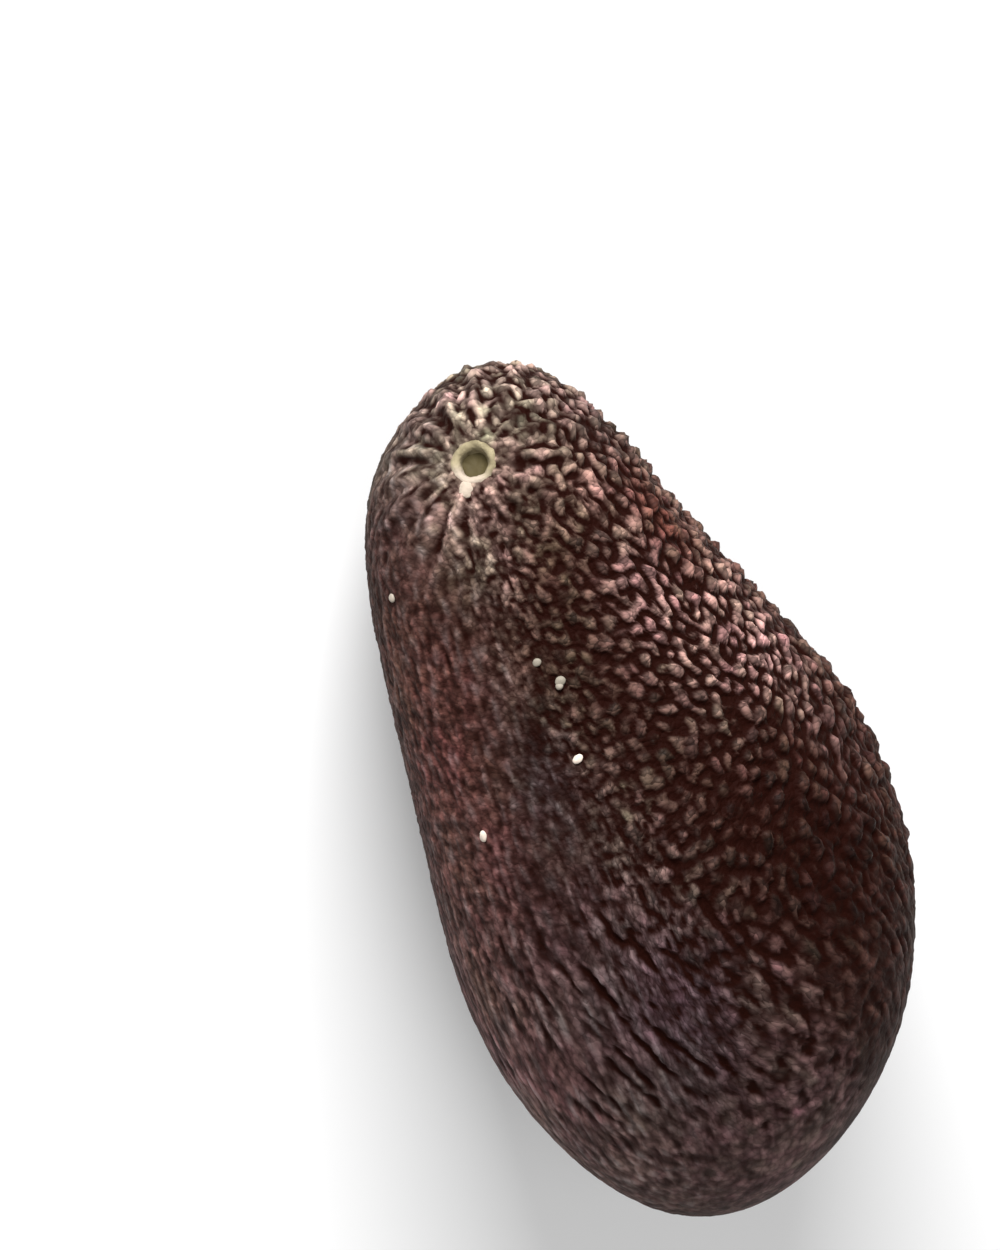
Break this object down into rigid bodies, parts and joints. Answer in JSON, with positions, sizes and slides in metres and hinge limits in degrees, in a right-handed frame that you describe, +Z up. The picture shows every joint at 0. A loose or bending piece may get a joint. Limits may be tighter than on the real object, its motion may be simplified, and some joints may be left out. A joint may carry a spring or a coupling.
{
  "type": "avocado",
  "caption": "Pear-shaped avocado lying on its side, with dark pebbled skin, ridges spreading from a corky stem scar with a small pit, and a blunt point at the blossom end.",
  "frame": {"origin": "on the flat spot that the fruit rests on, at the lowest point of its smooth body, under its weight", "axes": "+X along the fruit towards its stem end, +Z up from the surface it lies on, +Y towards its smoother flank"},
  "size_m": [0.1195, 0.0632, 0.063],
  "materials": {
    "avocado_skin": "waxy satin, dark purple-brown, paler on the pebbles and nearly black between them"
  },
  "bodies": {
    "root": {"avocado": "avocado_skin"}
  },
  "joints": []
}
